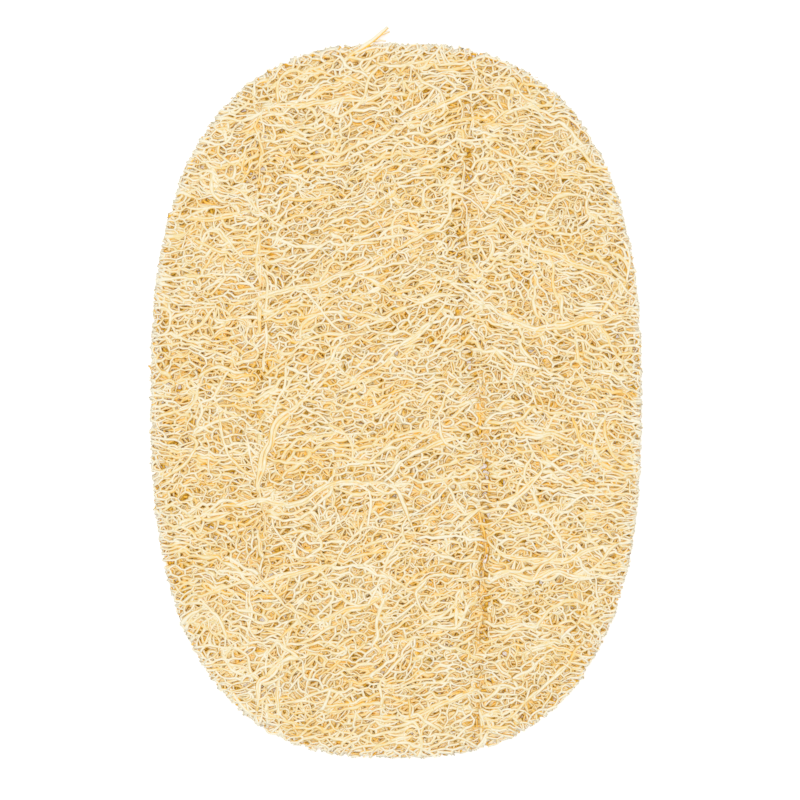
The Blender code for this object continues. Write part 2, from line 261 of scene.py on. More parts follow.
class Fibres:
    """A batch of fibres: points in mm, a radius at each point, and how many of the points each one uses.

    The heights come in as they would be in an even pad, and are settled here. The way to the open air is kept
    for each point: up or down, and outwards at the rim. It sets painted light and shade in the colour: faces
    turned to the open are painted pale, faces turned into the net are painted golden shade, and the cut rim
    gets painted light as if lit from the side.
    """

    def __init__(self, points, radii, counts, sides, flatness=1.0):
        x, y, height = np.moveaxis(points, -1, 0)
        self.heights = height.copy()
        # How deep in the net a point lies and how near the cut rim: they set the painted shade and painted
        # rim light
        depth = np.interp(height, (INNER_FACE, MIDDLE_HEIGHT, OUTER_FACE), (-1, 0, 1))
        rim = RIM_PAINTED_LIGHT * smooth_step(*RIM_LIGHT_BAND, edge_distance(x, y))
        out = rim / np.maximum(np.hypot(x, y), 1)
        self.air = np.stack((out * x, out * y, depth + np.copysign(rim / 4, depth)), axis=-1)
        points[..., 2] = settled(x, y, height)
        self.points = points
        self.radii = radii
        self.counts = counts
        self.sides = sides
        self.flatness = flatness
        self.roll = rng.uniform(0, 2 * math.pi, len(points))
        self.tone = rng.normal(0, 1, len(points))
        self.free_end = np.ones(len(points), bool)
        self.ripple_share = 1.0

    def kept(self, least):
        return self.only(self.counts >= least)

    def only(self, keep):
        for name in ("points", "heights", "air", "radii", "counts", "roll", "tone", "free_end"):
            setattr(self, name, getattr(self, name)[keep])
        return self

    def used(self):
        return np.arange(self.points.shape[1]) < self.counts[:, None]

    def tangents(self):
        index = np.arange(self.points.shape[1])
        last = self.counts[:, None] - 1
        ahead = np.minimum(index + 1, last)
        behind = np.minimum(np.maximum(index - 1, 0), last)
        row = np.arange(len(self.points))[:, None]
        along = self.points[row, ahead] - self.points[row, behind]
        return along / np.maximum(np.linalg.norm(along, axis=2, keepdims=True), 1e-6)

    def rings(self):
        """The tube's vertices, as fibre, point, corner, xyz."""
        along = self.tangents()
        side = np.stack((-along[..., 1], along[..., 0], np.zeros_like(along[..., 0])), axis=-1)
        size = np.linalg.norm(side, axis=-1, keepdims=True)
        side = np.where(size > 0.05, side / np.maximum(size, 0.05), (1.0, 0.0, 0.0))
        up = np.cross(along, side)
        angle = self.angles()
        across = np.cos(angle)[:, None, :, None] * side[:, :, None, :]
        above = np.sin(angle)[:, None, :, None] * up[:, :, None, :] * self.flatness
        return self.points[:, :, None, :] + self.radii[:, :, None, None] * (across + above)

    def angles(self):
        return 2 * math.pi * np.arange(self.sides) / self.sides + self.roll[:, None]

    def own_places(self):
        """Where each vertex lies in its own fibre, in mm, drawn in along it so that its grain is long."""
        steps = np.linalg.norm(np.diff(self.points, axis=1, prepend=self.points[:, :1]), axis=2)
        along = GRAIN_SHARE * np.cumsum(steps, axis=1) + 20 * self.roll[:, None]
        angle = self.angles()[:, None, :]
        thick = self.radii[..., None]
        along = np.broadcast_to(along[..., None], thick.shape[:2] + (self.sides,))
        return np.stack((thick * np.cos(angle), thick * np.sin(angle), along), axis=-1)


def fibre_mesh(name, batches):
    """One mesh of closed tubes, keeping the tones, the places for the grain and the ways to the air for
    painted shade.
    """
    vertices, tones, airs, own_places, quads, caps = [], [], [], [], [], []
    offset = 0
    for batch in batches:
        rings = batch.rings()
        fibres, points, sides = rings.shape[:3]
        used = batch.used()
        number = np.full((fibres, points), -1)
        number[used] = np.arange(used.sum())
        corner = number[..., None] * sides + np.arange(sides) + offset
        ahead = np.roll(corner, -1, axis=2)
        joined = used[:, 1:]
        faces = np.stack((corner[:, :-1], ahead[:, :-1], ahead[:, 1:], corner[:, 1:]), axis=-1)
        quads.append(faces[joined].reshape(-1, 4))
        row = np.arange(fibres)
        caps.append(corner[row, 0, ::-1])
        caps.append(corner[row, batch.counts - 1])
        vertices.append(rings[used].reshape(-1, 3))
        tones.append(np.repeat(np.broadcast_to(batch.tone[:, None], used.shape)[used], sides))
        airs.append(np.repeat(batch.air[used], sides, axis=0))
        own_places.append(batch.own_places()[used].reshape(-1, 3))
        offset += int(used.sum()) * sides
    places = np.concatenate(vertices) * MM
    faces = [np.concatenate(quads)] + caps
    sizes = np.concatenate([np.full(len(group), group.shape[1]) for group in faces])
    corners = np.concatenate([group.ravel() for group in faces])
    mesh = bpy.data.meshes.new(name)
    mesh.vertices.add(len(places))
    mesh.vertices.foreach_set("co", places.astype(np.float32).ravel())
    mesh.loops.add(len(corners))
    mesh.loops.foreach_set("vertex_index", corners.astype(np.int32))
    mesh.polygons.add(len(sizes))
    starts = np.concatenate(([0], np.cumsum(sizes)[:-1]))
    mesh.polygons.foreach_set("loop_start", starts.astype(np.int32))
    mesh.update(calc_edges=True)
    mesh.shade_smooth()
    attribute = mesh.attributes.new("tone", "FLOAT", "POINT")
    attribute.data.foreach_set("value", np.concatenate(tones).astype(np.float32))
    for label, vectors in (("own_place", own_places), ("air", airs)):
        attribute = mesh.attributes.new(label, "FLOAT_VECTOR", "POINT")
        attribute.data.foreach_set("vector", np.concatenate(vectors).astype(np.float32).ravel())
    return mesh


def random_places(count, margin=0.0):
    """Places spread at random over the oval, x, y from its middle."""
    found = np.empty((0, 2))
    while len(found) < count:
        x = rng.uniform(-OVAL_HALF_WIDTH, OVAL_HALF_WIDTH, count)
        y = rng.uniform(-OVAL_HALF_LENGTH, OVAL_HALF_LENGTH, count)
        inside = edge_distance(x, y) > margin
        found = np.concatenate((found, np.stack((x, y), axis=1)[inside]))
    return found[:count]


def spread_places(count, across, along):
    """Places on a jittered grid over the oval, a cell of across by along mm, thinned to the count."""
    xs = np.arange(-OVAL_HALF_WIDTH, OVAL_HALF_WIDTH, across)
    ys = np.arange(-OVAL_HALF_LENGTH, OVAL_HALF_LENGTH, along)
    grid = np.stack(np.meshgrid(xs, ys), axis=-1).reshape(-1, 2)
    grid = grid + rng.uniform(0, 1, grid.shape) * (across, along)
    grid = grid[oval_share(grid[:, 0], grid[:, 1]) < 1]
    rng.shuffle(grid)
    return grid[:count]


def wave(count, points, step, wave_length):
    """A smooth random swing from -1 to 1 along each of count fibres."""
    along = np.arange(points) * step
    phase = rng.uniform(0, 2 * math.pi, (2, count, 1))
    length = wave_length * rng.uniform(0.7, 1.4, (2, count, 1))
    swings = np.sin(2 * math.pi * along / length + phase)
    return (swings[0] + swings[1]) / 2


def cut_limits(count):
    """How far out each fibre is cut, where the oval itself is 1."""
    return 1 + rng.uniform(*CUT_RAG, count) / OVAL_MEAN_RADIUS


def cut_to_oval(flat, counts):
    """Ends each fibre where it leaves the oval, and says which ones were cut."""
    limit = cut_limits(len(flat))
    share = oval_share(flat[..., 0], flat[..., 1])
    outside = (share > limit[:, None]) & (np.arange(flat.shape[1]) < counts[:, None])
    outside[:, 0] = False
    cut = outside.any(axis=1)
    first = outside.argmax(axis=1)
    rows = np.nonzero(cut)[0]
    at = first[rows]
    inner, outer = share[rows, at - 1], share[rows, at]
    part = np.clip((limit[rows] - inner) / np.maximum(outer - inner, 1e-6), 0.05, 1)[:, None]
    flat[rows, at] = flat[rows, at - 1] + (flat[rows, at] - flat[rows, at - 1]) * part
    counts[rows] = at + 1
    return cut


def cut_at_creases(flat, counts, crossing):
    """Ends most of the fibres that reach a crease there. A share of them cross it."""
    strips = strip_of(flat[..., 0], flat[..., 1])
    changed = (strips != strips[:, :1]) & (np.arange(flat.shape[1]) < counts[:, None])
    stops = changed.any(axis=1) & (rng.random(len(flat)) > crossing)
    counts[stops] = np.maximum(changed[stops].argmax(axis=1), 1)
    return stops


def walk(start, heading, length, step, pull, bend, bend_length):
    """Grows fibres from their starts. They bend at random and are pulled back to the hoop direction."""
    count = len(start)
    points = int(math.ceil(length.max() / step)) + 1
    flat = np.empty((count, points, 2))
    flat[:, 0] = start
    memory = math.exp(-step / bend_length)
    curve = rng.normal(0, bend, count)
    for index in range(1, points):
        x, y = flat[:, index - 1].T
        off = (hoop_direction(x, y) - heading + math.pi / 2) % math.pi - math.pi / 2
        curve = curve * memory + rng.normal(0, bend, count) * math.sqrt(1 - memory**2)
        heading = heading + (curve + pull * off) * step
        flat[:, index] = flat[:, index - 1] + step * np.stack((np.cos(heading), np.sin(heading)), axis=1)
    return flat, np.round(length / step).astype(int) + 1


def grown(start, heading, length, step, pull, bend, bend_length, height, radius, sides, rise=0.25,
          crossing=1.0, flatness=1.0, pinch=0.75):
    """A batch of walked fibres, cut to the oval, laid at their heights and thinned towards free ends."""
    flat, counts = walk(start, heading, length, step, pull, bend, bend_length)
    stopped = cut_at_creases(flat, counts, crossing)
    cut = cut_to_oval(flat, counts)
    count, points = flat.shape[:2]
    x, y = flat[..., 0], flat[..., 1]
    z = height[:, None] + rise * wave(count, points, step, 14)
    thick = radius[:, None] * (1 + 0.14 * wave(count, points, step, 6))
    to_end = (counts[:, None] - 1 - np.arange(points)) * step
    free = ~(cut | stopped)
    thin_end = pinch + (1 - pinch) * smooth_step(0, 3, to_end)
    thick = thick * np.where(free[:, None], thin_end, 1)
    thick = thick * (pinch + (1 - pinch) * smooth_step(0, 3, np.arange(points) * step))
    batch = Fibres(np.stack((x, y, z), axis=-1), thick, counts, sides, flatness)
    batch.free_end = free
    return batch


def centred(start, heading, length, inside=0.985):
    """Moves each start back by half the fibre's length, or less where that would leave the oval."""
    back = np.stack((np.cos(heading), np.sin(heading)), axis=1) * length[:, None] / 2
    moved = start - back
    outside = oval_share(*moved.T) > inside
    shift = 0.5
    while outside.any() and shift > 0.01:
        moved[outside] = start[outside] - back[outside] * shift
        outside = oval_share(*moved.T) > inside
        shift *= 0.6
    return moved


class Net:
    """The points of many fibres, to find the nearest one of another fibre."""

    def __init__(self, batches):
        places, heights, owners, along = [], [], [], []
        owner = 0
        for batch in batches:
            used = batch.used()
            places.append(batch.points[used])
            heights.append(batch.heights[used])
            along.append(batch.tangents()[used])
            ids = np.broadcast_to(np.arange(len(used))[:, None] + owner, used.shape)
            owners.append(ids[used])
            owner += len(used)
        self.places = np.concatenate(places)
        self.heights = np.concatenate(heights)
        self.along = np.concatenate(along)
        self.owners = np.concatenate(owners)
        self.tree = kdtree.KDTree(len(self.places))
        for index, place in enumerate(self.places):
            self.tree.insert(place, index)
        self.tree.balance()

    def nearest(self, place, owner, least=0.0, start=None, tries=14):
        for _, index, _ in self.tree.find_n(place, tries):
            far_enough = start is None or np.linalg.norm(self.places[index] - start) > least
            if self.owners[index] != owner and far_enough:
                return index
        return None


def tied(batches, reach=3.2, bend=6):
    """Draws the loose ends of each fibre onto the nearest other fibre, so that they fork from it."""
    net = Net(batches)
    owner = 0
    for batch in batches:
        for row in range(len(batch.points)):
            last = batch.counts[row] - 1
            ends = ((0, 1), (last, -1)) if batch.free_end[row] else ((0, 1),)
            for end, way in ends:
                place = batch.points[row, end].copy()
                found = net.nearest(place, owner)
                if found is None:
                    continue
                shift = net.places[found] - place
                if np.linalg.norm(shift) > reach:
                    continue
                for step in range(min(bend, last + 1)):
                    share = smooth_step(0, 1, 1 - step / bend)
                    batch.points[row, end + way * step] += shift * share
            owner += 1


def ties(net, groups, length, radius, sag, sides, most, slack=2.4):
    """Short fibres from one strand to another, alone or as a row of rungs side by side."""
    starts, ends = [], []
    first = rng.choice(len(net.places), groups)
    rungs = rng.choice((1, 1, 2, 3, 4, 6), groups)
    turn = rng.normal(0, 1, groups) * 0.45 + math.pi / 2 * rng.choice((-1, 1), groups)
    long = rng.uniform(*length, groups)
    for group in range(groups):
        for rung in range(rungs[group]):
            index = first[group] + rung
            if index >= len(net.places) or net.owners[index] != net.owners[first[group]]:
                break
            place = net.places[index]
            ahead, aside, _ = net.along[index]
            heading = math.atan2(aside, ahead) + turn[group] + rng.normal(0, 0.12)
            reach = long[group] * rng.uniform(0.85, 1.15)
            way = (math.cos(heading) * reach, math.sin(heading) * reach, rng.normal(0, 0.3))
            aim = place + np.array(way)
            found = net.nearest(aim, net.owners[index], 1.0, place)
            if found is not None and np.linalg.norm(net.places[found] - aim) < slack:
                starts.append(index)
                ends.append(found)
    even = np.column_stack((net.places[:, :2], net.heights))
    return bridges(even[starts], even[ends], radius, sag, sides, most)


def bridges(start, end, radius, sag, sides, most):
    """Curved fibres from the start places to the end places, flared where they join."""
    count = len(start)
    way = end - start
    far = np.linalg.norm(way, axis=1)
    counts = np.clip(np.round(far / 0.75).astype(int) + 2, 4, most)
    heading = np.arctan2(way[:, 1], way[:, 0])
    handles = []
    for sign in (1, -1):
        turn = heading + rng.normal(0, 0.45, count)
        handles.append(sign * 0.38 * far[:, None] * np.stack((np.cos(turn), np.sin(turn)), axis=1))
    share = np.clip(np.arange(most) / (counts[:, None] - 1), 0, 1)[..., None]
    left = 1 - share
    flat = left**3 * start[:, None, :2] + 3 * left**2 * share * (start[:, :2] + handles[0])[:, None]
    flat = flat + 3 * left * share**2 * (end[:, :2] + handles[1])[:, None] + share**3 * end[:, None, :2]
    share = share[..., 0]
    height = start[:, None, 2] * (1 - share) + end[:, None, 2] * share
    height = height - rng.uniform(*sag, count)[:, None] * 4 * share * (1 - share)
    flare = 1 + 0.35 * (2 * share - 1) ** 4 - 0.1 * 4 * share * (1 - share)
    thick = rng.uniform(*radius, count)[:, None] * flare
    points = np.concatenate((flat, np.clip(height, PAD_FLOOR, None)[..., None]), axis=-1)
    return Fibres(points, thick, counts, sides)


def cell_net(across, along, jitter):
    """Cells of about across by along mm: the places of their corners, and which corners a wall joins."""
    us = np.arange(-OVAL_HALF_WIDTH - 3 * across, OVAL_HALF_WIDTH + 3 * across, across)
    vs = np.arange(-OVAL_HALF_LENGTH - 25, OVAL_HALF_LENGTH + 25, along)
    grid = np.stack(np.meshgrid(us, vs), axis=-1)
    grid[::2, :, 0] += across / 2
    shift = rng.uniform(-jitter, jitter, (grid.size // 2, 2)) * (across / 2, along / 2)
    seeds = grid.reshape(-1, 2) + shift
    keep = (oval_share(seeds[:, 0], lifted(*seeds.T)) < 1.12) & (rng.random(len(seeds)) > MISSING_CELLS)
    seeds = seeds[keep] / (across, along)
    triangles = np.array(geometry.delaunay_2d_cdt([Vector(seed) for seed in seeds], [], [], 0, 1e-6)[2])
    first, second, third = (seeds[triangles[:, corner]] for corner in range(3))
    second, third = second - first, third - first
    doubled = 2 * (second[:, 0] * third[:, 1] - second[:, 1] * third[:, 0])
    two, three = (second**2).sum(axis=1), (third**2).sum(axis=1)
    middle_u = (third[:, 1] * two - second[:, 1] * three) / doubled
    middle_v = (second[:, 0] * three - third[:, 0] * two) / doubled
    u, v = ((np.stack((middle_u, middle_v), axis=1) + first) * (across, along)).T
    sides = np.sort(triangles[:, [[0, 1], [1, 2], [2, 0]]].reshape(-1, 2), axis=1)
    face = np.repeat(np.arange(len(triangles)), 3)
    order = np.lexsort((sides[:, 1], sides[:, 0]))
    shared = (sides[order][1:] == sides[order][:-1]).all(axis=1)
    walls = np.stack((face[order][:-1][shared], face[order][1:][shared]), axis=1)
    places = np.stack((u, lifted(u, v)), axis=1)
    far = np.linalg.norm(places[walls[:, 0]] - places[walls[:, 1]], axis=1)
    return places, walls[far < 3 * across]


class Swell:
    """A smooth random field over the pad: a few waves at random angles."""

    def __init__(self, wave_length, waves=6, depth=None):
        angle = rng.uniform(0, 2 * math.pi, waves)
        number = 2 * math.pi / (wave_length * rng.uniform(0.7, 1.4, waves))
        self.level = np.stack((np.cos(angle), np.sin(angle)))
        self.numbers = number * self.level
        if depth:
            self.numbers = np.vstack((self.numbers, 2 * math.pi / depth * rng.uniform(-1, 1, waves)))
        self.phases = rng.uniform(0, 2 * math.pi, waves)

    def at(self, places):
        return np.sin(places @ self.numbers + self.phases).sum(axis=-1) / math.sqrt(len(self.phases) / 2)

    def drift(self, places):
        """A swirling movement that crowds nothing together: it runs along the field's level lines."""
        across = np.stack((self.level[1], -self.level[0]))
        return np.cos(places @ self.numbers + self.phases) @ across.T / math.sqrt(len(self.phases) / 2)


class Web:
    """A net of cells drawn out along the hoop lines, with a fibre along each wall between two cells."""

    def __init__(self, across, along, radius, height, rise=0.35, swirl=0.9, jitter=0.9):
        flat, self.walls = cell_net(across, along, jitter)
        drift = Swell(15).drift(flat)
        swell = np.stack((Swell(10).at(flat), Swell(10).at(flat)), axis=1)
        flat = flat + swirl * (drift + 0.4 * swell)
        z = height + rise * rng.normal(0, 1, len(flat))
        self.places = np.column_stack((flat, z))
        self.radii = rng.uniform(*radius, len(self.walls))
        self.hoops = hoop_direction(*flat.T)
        self.count_around()

    def count_around(self):
        self.around = [[] for _ in self.places]
        for wall, (first, second) in enumerate(self.walls):
            self.around[first].append((wall, second))
            self.around[second].append((wall, first))

    def grow_strands(self, count, length, radius, stray=0.35):
        """Thickens runs of walls into strands along the hoop lines, which taper, meet and part."""
        inside = np.nonzero(oval_share(*self.places[:, :2].T) < 0.98)[0]
        for here in rng.choice(inside, count):
            reach, thick = rng.uniform(*length), rng.uniform(*radius)
            back = math.pi * rng.integers(0, 2)
            off = rng.normal(0, stray)
            heading = self.hoops[here] + back + off
            gone = 0.0
            while gone < reach:
                others = [other for _, other in self.around[here]]
                ways = self.places[others, :2] - self.places[here, :2]
                lengths = np.maximum(np.linalg.norm(ways, axis=1), 1e-6)
                fits = ways @ (math.cos(heading), math.sin(heading)) / lengths
                best = fits.argmax()
                if fits[best] < 0.3:
                    break
                wall, here = self.around[here][best]
                self.radii[wall] = max(self.radii[wall], thick * (1 - 0.45 * (gone / reach) ** 2))
                gone += lengths[best]
                turned = math.atan2(ways[best][1], ways[best][0])
                heading += 0.35 * math.remainder(turned - heading, 2 * math.pi)
                heading += 0.25 * math.remainder(self.hoops[here] + back + off - heading, 2 * math.pi)

    def pull_tight(self, rounds, share=0.5):
        """Evens the net out as if its fibres were stretched, the thick ones harder than the fine ones."""
        weight = (self.radii**3)[:, None]
        free = oval_share(*self.places[:, :2].T) < 1.06
        for _ in range(rounds):
            pull = np.zeros_like(self.places)
            total = np.full((len(self.places), 1), 1e-12)
            for near, far in (self.walls.T, self.walls.T[::-1]):
                np.add.at(pull, near, weight * self.places[far])
                np.add.at(total, near, weight)
            self.places[free] += share * (pull / total - self.places)[free]

    def grow_onto(self, net, reach):
        """Moves the junctions near a thick strand onto it, so that the net springs from its sides."""
        for index, place in enumerate(self.places):
            found, row, far = net.tree.find(place)
            if far < reach:
                self.places[index] = (found.x, found.y, net.heights[row])

    def cut(self, crossing=1.0):
        """Cuts the net along the oval, and cuts some of the fibres that cross a crease."""
        first, second = self.walls.T
        strips = strip_of(*self.places[:, :2].T)
        whole = (strips[first] == strips[second]) | (rng.random(len(first)) < crossing)
        x, y = ((self.places[first] + self.places[second]) / 2)[:, :2].T
        torn = np.interp(y, (-5, 10), TORN_SHARES) * (np.abs(x - crease_x(RIGHT_CREASE, y)) < TORN_WIDTH)
        whole &= rng.random(len(first)) > torn
        share = oval_share(*self.places[:, :2].T)
        limit = cut_limits(len(first))
        shares = share[self.walls]
        within = shares < limit[:, None]
        self.walls, self.radii, shares, limit, within = (
            array[whole & within.any(axis=1)] for array in (self.walls, self.radii, shares, limit, within)
        )
        for end, other in ((0, 1), (1, 0)):
            rows = np.nonzero(~within[:, end])[0]
            inner, outer = self.walls[rows, other], self.walls[rows, end]
            part = (limit[rows] - shares[rows, other]) / (shares[rows, end] - shares[rows, other])
            edge = self.places[inner] + (self.places[outer] - self.places[inner]) * part[:, None]
            self.walls[rows, end] = np.arange(len(rows)) + len(self.places)
            self.places = np.concatenate((self.places, edge))
        self.count_around()

    def run_on(self):
        """For each junction and wall there, the wall that carries on: the most alike and straightest."""
        partner = {}
        for place, around in enumerate(self.around):
            ways = [self.places[other, :2] - self.places[place, :2] for _, other in around]
            ways = [way / max(math.hypot(*way), 1e-6) for way in ways]
            best = None
            for (one, (wall, _)), (two, (beyond, _)) in itertools.combinations(enumerate(around), 2):
                fit = 6 * min(self.radii[wall], self.radii[beyond]) - ways[one] @ ways[two]
                if best is None or fit > best[0]:
                    best = (fit, wall, beyond)
            if best:
                partner[place, best[1]] = best[2]
                partner[place, best[2]] = best[1]
        return partner

    def lines(self):
        """The walls as smooth lines with a radius at each point, joined end to end where they run on."""
        partner = self.run_on()
        free = set(range(len(self.walls)))
        for start_wall, ends in enumerate(self.walls.tolist()):
            for start in ends:
                if start_wall not in free or (start, start_wall) in partner:
                    continue
                wall, here = start_wall, start
                way, radii = [here], []
                while wall in free:
                    free.discard(wall)
                    radii.append(self.radii[wall])
                    first, second = self.walls[wall]
                    here = int(second) if here == first else int(first)
                    way.append(here)
                    wall = partner.get((here, wall))
                yield smooth_line(self.places[way], np.array(radii))

    def fibres(self, thick=0.3, sides=(3, 5)):
        """The net as two batches, the fine fibres and the thick strands."""
        groups = ([], [])
        for line, radii in self.lines():
            groups[radii[1:-1].max() > thick].append((line, radii))
        return [from_lines(lines, count) for lines, count in zip(groups, sides) if lines]


def smooth_line(points, radii, step=0.85, flare=1.25, bow=0.6):
    """A smooth line through the points, a little bowed where it starts and ends."""
    ways = np.diff(points, axis=0)
    far = np.maximum(np.linalg.norm(ways, axis=1), 1e-6)
    slopes = np.empty_like(points)
    slopes[1:-1] = (points[2:] - points[:-2]) / (far[1:] + far[:-1])[:, None]
    for end, way in ((0, ways[0] / far[0]), (-1, ways[-1] / far[-1])):
        turn = rng.normal(0, bow)
        slopes[end] = way
        slopes[end, 0] -= turn * way[1]
        slopes[end, 1] += turn * way[0]
    thick = np.concatenate((radii[:1], (radii[1:] + radii[:-1]) / 2, radii[-1:]))
    parts, widths = [], []
    for index, reach in enumerate(far):
        cuts = max(2 if len(far) == 1 else 1, round(reach / step))
        share = (np.arange(cuts) / cuts)[:, None]
        parts.append(
            points[index] * (1 + 2 * share) * (1 - share) ** 2
            + slopes[index] * reach * share * (1 - share) ** 2
            + points[index + 1] * share**2 * (3 - 2 * share)
            - slopes[index + 1] * reach * share**2 * (1 - share)
        )
        widths.append(thick[index] + (thick[index + 1] - thick[index]) * share[:, 0])
    widths = np.append(np.concatenate(widths), thick[-1])
    widths[[0, -1]] *= flare
    return np.concatenate(parts + [points[-1:]]), widths


def from_lines(lines, sides, flatness=0.9):
    """A batch from lines of different lengths."""
    counts = np.array([len(line) for line, _ in lines])
    points = np.zeros((len(lines), counts.max(), 3))
    thick = np.zeros(points.shape[:2])
    for row, (line, radii) in enumerate(lines):
        points[row] = line[-1]
        points[row, : len(line)] = line
        thick[row, : len(line)] = radii
    return Fibres(points, thick, counts, sides, flatness)


def rim_places(count):
    """Places just inside the cut edge."""
    flat = random_places(count, 5)
    return flat / oval_share(*flat.T)[:, None] * rng.uniform(*RIM_BAND, (count, 1))


def face_ties(places, low, high, slant, radius, sides=3, most=5):
    """Fibres that climb from the inner face to the outer one."""
    count = len(places)
    start = np.column_stack((places, rng.uniform(*low, count)))
    top = places + rng.normal(0, slant, (count, 2))
    over = np.maximum(oval_share(*top.T) / RIM_BAND[1], 1)[:, None]
    end = np.column_stack((top / over, rng.uniform(*high, count)))
    return bridges(start, end, radius, (0, 0), sides, most)


def rings(count, size, height, radius, sides, points=11):
    """Small curls of fine fibre, each closed on itself and tilted a little."""
    place = random_places(count, 2.5)
    angle = 2 * math.pi * np.arange(points) / (points - 1) + rng.uniform(0, 2 * math.pi, (count, 1))
    across = rng.uniform(*size, count)[:, None] * np.cos(angle)
    along = rng.uniform(*size, count)[:, None] * np.sin(angle)
    tilt = rng.normal(0, 0.22, (2, count, 1))
    x = place[:, :1] + across
    y = place[:, 1:] + along
    z = rng.uniform(*height, count)[:, None] + tilt[0] * across + tilt[1] * along
    thick = np.repeat(rng.uniform(*radius, count)[:, None], points, axis=1)
    return Fibres(np.stack((x, y, z), axis=-1), thick, np.full(count, points), sides)


def routed(routes, height, sides, bundle=3, step=1.0, flatness=0.75, wander=0.3):
    """Strands along the given routes, each one a bundle of thinner ones that slowly cross each other."""
    lines = []
    for radius, *way in routes:
        way = np.array(way, float)
        far = np.concatenate(([0], np.cumsum(np.linalg.norm(np.diff(way, axis=0), axis=1))))
        along = np.linspace(0, far[-1], max(4, int(far[-1] / step)))
        line = np.stack([np.interp(along, far, way[:, axis]) for axis in (0, 1)], axis=1)
        for _ in range(8):
            line[1:-1] = (line[:-2] + 2 * line[1:-1] + line[2:]) / 4
        line = line + wander * Swell(8).drift(line)
        ahead = np.gradient(line, axis=0)
        side = np.stack((-ahead[:, 1], ahead[:, 0]), axis=1) / np.linalg.norm(ahead, axis=1, keepdims=True)
        near_end = np.minimum(along, far[-1] - along)
        thick = radius * (0.5 + 0.5 * smooth_step(0, 6, near_end))
        turn = 2 * math.pi * along / CROSSOVER + rng.uniform(0, 2 * math.pi)
        for strand in range(bundle):
            angle = turn + 2 * math.pi * strand / bundle
            spread = BUNDLE_SPREAD * thick * (bundle > 1)
            flat = line + side * (spread * np.sin(angle))[:, None]
            z = height + 0.4 * spread * np.cos(angle)
            lines.append((np.column_stack((flat, z)), thick * (BUNDLE_STRAND if bundle > 1 else 1)))
    return from_lines(lines, sides, flatness)


def forks(mains, per_strand, length, radius, sides, height):
    """Strands that fork from the thick ones, at their ends and off their sides, at a narrow angle."""
    along = mains.tangents()
    starts, headings = [], []
    for row in range(len(mains.points)):
        last = mains.counts[row] - 1
        for number in range(per_strand):
            place = rng.choice((0, last, rng.integers(0, last + 1)))
            way = -1 if place == 0 or (place != last and rng.random() < 0.5) else 1
            tangent = way * along[row, place]
            starts.append(mains.points[row, place, :2])
            headings.append(math.atan2(tangent[1], tangent[0]) + rng.uniform(-0.55, 0.55))
    starts, headings = np.array(starts), np.array(headings)
    count = len(starts)
    return grown(starts, headings, rng.uniform(*length, count), 1.15, 0.05, 0.05, 7,
                 rng.uniform(*height, count), rng.uniform(*radius, count), sides, pinch=0.8)


def hoop_batch(count, cell, length, height, radius, sides, turn, bend, pull, crossing=0.35, step=1.15,
               flatness=1.0, bend_length=8):
    """Strands that run across the pad, spread evenly over it."""
    place = spread_places(count, *cell)
    count = len(place)
    long = rng.uniform(*length, count)
    heading = hoop_direction(*place.T) + rng.normal(0, turn, count)
    heading = heading + math.pi * rng.integers(0, 2, count)
    start = centred(place, heading, long)
    return grown(start, heading, long, step, pull, bend, bend_length, rng.uniform(*height, count),
                 rng.uniform(*radius, count), sides, crossing=crossing, flatness=flatness).kept(4)


def curly_batch(count, length, height, radius, bend, sides=3, step=0.85):
    """Fine fibres that set off in any direction and curl."""
    place = random_places(count, 0.8)
    heading = rng.uniform(0, 2 * math.pi, count)
    return grown(place, heading, rng.uniform(*length, count), step, 0.03, bend, 2.5,
                 rng.uniform(*height, count), rng.uniform(*radius, count), sides, rise=0.4).kept(4)


def upright_batch(count, crease, reach, offset, length, height, radius, turn, sides=5, step=1.1):
    """Strands that run along a crease, side by side."""
    y = rng.uniform(*reach, count)
    x = crease_x(crease, y) + rng.uniform(*offset, count)
    heading = math.pi / 2 * rng.choice((-1, 1), count) + rng.normal(0, turn, count)
    return grown(np.stack((x, y), axis=1), heading, rng.uniform(*length, count), step, 0.0, 0.025, 9,
                 rng.uniform(*height, count), rng.uniform(*radius, count), sides).kept(4)


def long_batch(count, pitch, height, radius, sides, step=1.3):
    """Strands along the gourd, on the inner face, from end to end or nearly."""
    base = (np.arange(count) - (count - 1) / 2) * pitch + rng.uniform(-0.2, 0.2, count) * pitch
    reach = OVAL_HALF_LENGTH * (1 - np.abs(base / OVAL_HALF_WIDTH) ** OVAL_POWER) ** (1 / OVAL_POWER)
    start = np.stack((base, -reach * rng.uniform(0.8, 0.995, count)), axis=1)
    heading = math.pi / 2 + rng.normal(0, 0.06, count)
    return grown(start, heading, reach * rng.uniform(1.5, 2.1, count), step, 0.0, 0.012, 12,
                 rng.uniform(*height, count), rng.uniform(*radius, count), sides, rise=0.12).kept(4)


def rippled(batches):
    """Bends every fibre by the same small ripples, so that what grows together stays together."""
    for batch in batches:
        inside = smooth_step(0, 4, edge_distance(*np.moveaxis(batch.points[..., :2], -1, 0)))[..., None]
        bent = sum(size * ripple.drift(batch.points) for size, ripple in ripples)
        batch.radii = batch.radii * (1 + KNOT_SHARE * knots.at(batch.points))
        batch.points[..., :2] += batch.ripple_share * inside * bent


def moved_to_frame(batches):
    """Lays the fibres on the floor of the frame, none of them lower than its own thickness."""
    for batch in batches:
        batch.points[..., 1] += OVAL_MIDDLE_Y
        batch.points[..., 2] = np.maximum(batch.points[..., 2], 1.05 * batch.radii)


